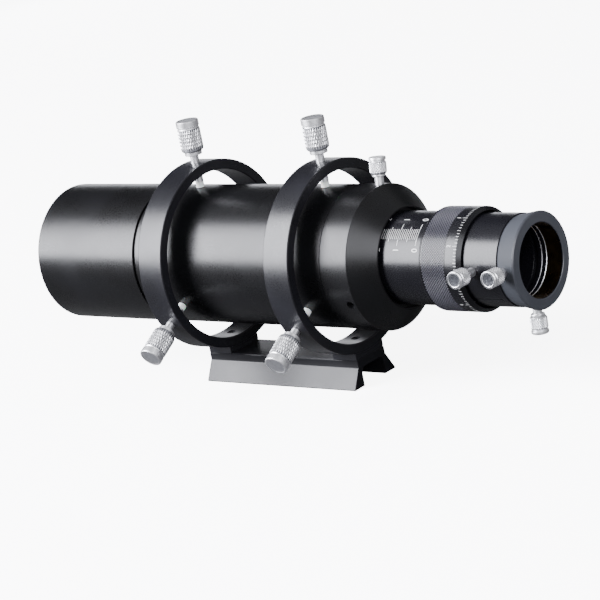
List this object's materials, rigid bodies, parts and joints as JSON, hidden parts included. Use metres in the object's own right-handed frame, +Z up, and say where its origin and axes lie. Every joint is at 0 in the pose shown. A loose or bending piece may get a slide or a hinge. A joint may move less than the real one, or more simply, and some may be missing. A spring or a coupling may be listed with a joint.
{
  "type": "finder scope",
  "caption": "Small refracting finder and guide telescope in two adjustable rings on a dovetail bar, with drawtube, helical focuser and 1.25 inch eyepiece holder.",
  "frame": {"origin": "centre of the dovetail bar's underside, midway between the two rings", "axes": "+X along the optical axis towards the eyepiece, +Z up through the rings, -Y towards the side with the horizontal clamp screws"},
  "size_m": [0.2688, 0.1158, 0.1225],
  "materials": {
    "black_anodised": "black satin anodised aluminium",
    "screw_steel": "turned bright steel with a fine knurl",
    "dark_steel": "blackened steel",
    "nylon": "white nylon",
    "brass": "turned brass",
    "crown_glass": "polished crown glass with a green anti-reflection coating",
    "flint_glass": "polished flint glass",
    "tin_foil": "thin bright foil",
    "flat_black": "flat black paint"
  },
  "bodies": {
    "mount": {"dovetail_bar": "black_anodised", "front_ring": "black_anodised", "rear_ring": "black_anodised", "ring_bolts": "dark_steel"},
    "tube": {"main_tube": "black_anodised", "lens_hood": "black_anodised", "objective_cell": "black_anodised", "crown_lens": "crown_glass", "lens_spacer": "tin_foil", "flint_lens": "flint_glass", "lens_retainer": "flat_black", "front_baffle": "flat_black", "rear_baffle": "flat_black", "rear_body": "black_anodised", "tension_grub_screws": "dark_steel"},
    "drawtube_body": {"drawtube": "black_anodised", "grip_retainer": "dark_steel", "guide_key": "screw_steel"},
    "focus_ring": {"focus_grip": "black_anodised", "micrometer_collar": "black_anodised", "grip_grub_screw": "dark_steel"},
    "sleeve": {"eyepiece_sleeve": "black_anodised", "eyepiece_holder": "black_anodised", "compression_ring": "brass"},
    "front_top_tip_body": {"front_top_tip": "nylon"},
    "front_top_screw_body": {"front_top_screw": "screw_steel"},
    "front_near_tip_body": {"front_near_tip": "nylon"},
    "front_near_screw_body": {"front_near_screw": "screw_steel"},
    "front_far_tip_body": {"front_far_tip": "nylon"},
    "front_far_screw_body": {"front_far_screw": "screw_steel"},
    "rear_top_tip_body": {"rear_top_tip": "nylon"},
    "rear_top_screw_body": {"rear_top_screw": "screw_steel"},
    "rear_near_tip_body": {"rear_near_tip": "nylon"},
    "rear_near_screw_body": {"rear_near_screw": "screw_steel"},
    "rear_far_tip_body": {"rear_far_tip": "nylon"},
    "rear_far_screw_body": {"rear_far_screw": "screw_steel"},
    "drawtube_lock_tip_body": {"drawtube_lock_tip": "brass"},
    "drawtube_lock_screw_body": {"drawtube_lock_screw": "screw_steel"},
    "helical_lock_tip_body": {"helical_lock_tip": "brass"},
    "helical_lock_screw_body": {"helical_lock_screw": "screw_steel"},
    "eyepiece_side_tip_body": {"eyepiece_side_tip": "brass"},
    "eyepiece_side_screw_body": {"eyepiece_side_screw": "screw_steel"},
    "eyepiece_lower_tip_body": {"eyepiece_lower_tip": "brass"},
    "eyepiece_lower_screw_body": {"eyepiece_lower_screw": "screw_steel"}
  },
  "joints": [
    {"name": "aim_altitude", "type": "hinge", "parent": "mount", "child": "tube", "pos_m": [-0.0375, 0, 0.0585], "axis": [0, 1, 0], "range_deg": [-0.67, 0.67]},
    {"name": "drawtube_slide", "type": "slide", "parent": "tube", "child": "drawtube_body", "axis": [1, 0, 0], "range_m": [-0.0205, 0.012]},
    {"name": "focus_turn", "type": "hinge", "parent": "drawtube_body", "child": "focus_ring", "pos_m": [0.106, 0, 0.0585], "axis": [1, 0, 0], "range_deg": [-720, 2880]},
    {"name": "sleeve_travel", "type": "slide", "parent": "drawtube_body", "child": "sleeve", "axis": [1, 0, 0], "range_m": [-0.0021, 0.0081]},
    {"name": "front_top_tip_slide", "type": "slide", "parent": "mount", "child": "front_top_tip_body", "axis": [0, 0, 1], "range_m": [0, 0.004]},
    {"name": "front_top_turn", "type": "hinge", "parent": "front_top_tip_body", "child": "front_top_screw_body", "pos_m": [-0.0375, 0, 0.1085], "axis": [0, 0, 1], "range_deg": [0, 2062]},
    {"name": "front_near_tip_slide", "type": "slide", "parent": "mount", "child": "front_near_tip_body", "axis": [0, -0.866, -0.5], "range_m": [0, 0.004]},
    {"name": "front_near_turn", "type": "hinge", "parent": "front_near_tip_body", "child": "front_near_screw_body", "pos_m": [-0.0375, -0.0433, 0.0335], "axis": [0, -0.866, -0.5], "range_deg": [0, 2062]},
    {"name": "front_far_tip_slide", "type": "slide", "parent": "mount", "child": "front_far_tip_body", "axis": [0, 0.866, -0.5], "range_m": [0, 0.004]},
    {"name": "front_far_turn", "type": "hinge", "parent": "front_far_tip_body", "child": "front_far_screw_body", "pos_m": [-0.0375, 0.0433, 0.0335], "axis": [0, 0.866, -0.5], "range_deg": [0, 2062]},
    {"name": "rear_top_tip_slide", "type": "slide", "parent": "mount", "child": "rear_top_tip_body", "axis": [0, 0, 1], "range_m": [-0.00088, 0.00088]},
    {"name": "rear_top_turn", "type": "hinge", "parent": "rear_top_tip_body", "child": "rear_top_screw_body", "pos_m": [0.0375, 0, 0.1085], "axis": [0, 0, 1], "range_deg": [-452, 452]},
    {"name": "rear_near_tip_slide", "type": "slide", "parent": "mount", "child": "rear_near_tip_body", "axis": [0, -0.866, -0.5], "range_m": [-0.000439, 0.000439]},
    {"name": "rear_near_turn", "type": "hinge", "parent": "rear_near_tip_body", "child": "rear_near_screw_body", "pos_m": [0.0375, -0.0433, 0.0335], "axis": [0, -0.866, -0.5], "range_deg": [-226, 226]},
    {"name": "rear_far_tip_slide", "type": "slide", "parent": "mount", "child": "rear_far_tip_body", "axis": [0, 0.866, -0.5], "range_m": [-0.000439, 0.000439]},
    {"name": "rear_far_turn", "type": "hinge", "parent": "rear_far_tip_body", "child": "rear_far_screw_body", "pos_m": [0.0375, 0.0433, 0.0335], "axis": [0, 0.866, -0.5], "range_deg": [-226, 226]},
    {"name": "drawtube_lock_tip_slide", "type": "slide", "parent": "tube", "child": "drawtube_lock_tip_body", "axis": [0, 0.1392, 0.9903], "range_m": [0, 0.003]},
    {"name": "drawtube_lock_turn", "type": "hinge", "parent": "drawtube_lock_tip_body", "child": "drawtube_lock_screw_body", "pos_m": [0.0645, 0.00696, 0.10801], "axis": [0, 0.1392, 0.9903], "range_deg": [0, 1547]},
    {"name": "helical_lock_tip_slide", "type": "slide", "parent": "sleeve", "child": "helical_lock_tip_body", "axis": [0, -0.9986, 0.0523], "range_m": [0, 0.003]},
    {"name": "helical_lock_turn", "type": "hinge", "parent": "helical_lock_tip_body", "child": "helical_lock_screw_body", "pos_m": [0.1247, -0.04993, 0.06112], "axis": [0, -0.9986, 0.0523], "range_deg": [0, 1547]},
    {"name": "eyepiece_side_tip_slide", "type": "slide", "parent": "sleeve", "child": "eyepiece_side_tip_body", "axis": [0, -0.9986, 0.0523], "range_m": [0, 0.003]},
    {"name": "eyepiece_side_turn", "type": "hinge", "parent": "eyepiece_side_tip_body", "child": "eyepiece_side_screw_body", "pos_m": [0.1405, -0.04993, 0.06112], "axis": [0, -0.9986, 0.0523], "range_deg": [0, 1547]},
    {"name": "eyepiece_lower_tip_slide", "type": "slide", "parent": "sleeve", "child": "eyepiece_lower_tip_body", "axis": [0, -0.0523, -0.9986], "range_m": [0, 0.003]},
    {"name": "eyepiece_lower_turn", "type": "hinge", "parent": "eyepiece_lower_tip_body", "child": "eyepiece_lower_screw_body", "pos_m": [0.1405, -0.00262, 0.00857], "axis": [0, -0.0523, -0.9986], "range_deg": [0, 1547]}
  ],
  "couplings": [
    {"joint": "sleeve_travel", "follows": "focus_turn", "m_per_rad": 0.00015915},
    {"joint": "front_top_turn", "follows": "front_top_tip_slide", "rad_per_m": 8976},
    {"joint": "front_near_turn", "follows": "front_near_tip_slide", "rad_per_m": 8976},
    {"joint": "front_far_turn", "follows": "front_far_tip_slide", "rad_per_m": 8976},
    {"joint": "rear_top_turn", "follows": "rear_top_tip_slide", "rad_per_m": 8976},
    {"joint": "rear_near_turn", "follows": "rear_top_tip_slide", "rad_per_m": -4488},
    {"joint": "rear_near_tip_slide", "follows": "rear_top_tip_slide", "ratio": -0.5},
    {"joint": "rear_far_turn", "follows": "rear_top_tip_slide", "rad_per_m": -4488},
    {"joint": "rear_far_tip_slide", "follows": "rear_top_tip_slide", "ratio": -0.5},
    {"joint": "drawtube_lock_turn", "follows": "drawtube_lock_tip_slide", "rad_per_m": 8976},
    {"joint": "helical_lock_turn", "follows": "helical_lock_tip_slide", "rad_per_m": 8976},
    {"joint": "eyepiece_side_turn", "follows": "eyepiece_side_tip_slide", "rad_per_m": 8976},
    {"joint": "eyepiece_lower_turn", "follows": "eyepiece_lower_tip_slide", "rad_per_m": 8976},
    {"joint": "aim_altitude", "follows": "rear_top_tip_slide", "rad_per_m": -13.333}
  ]
}
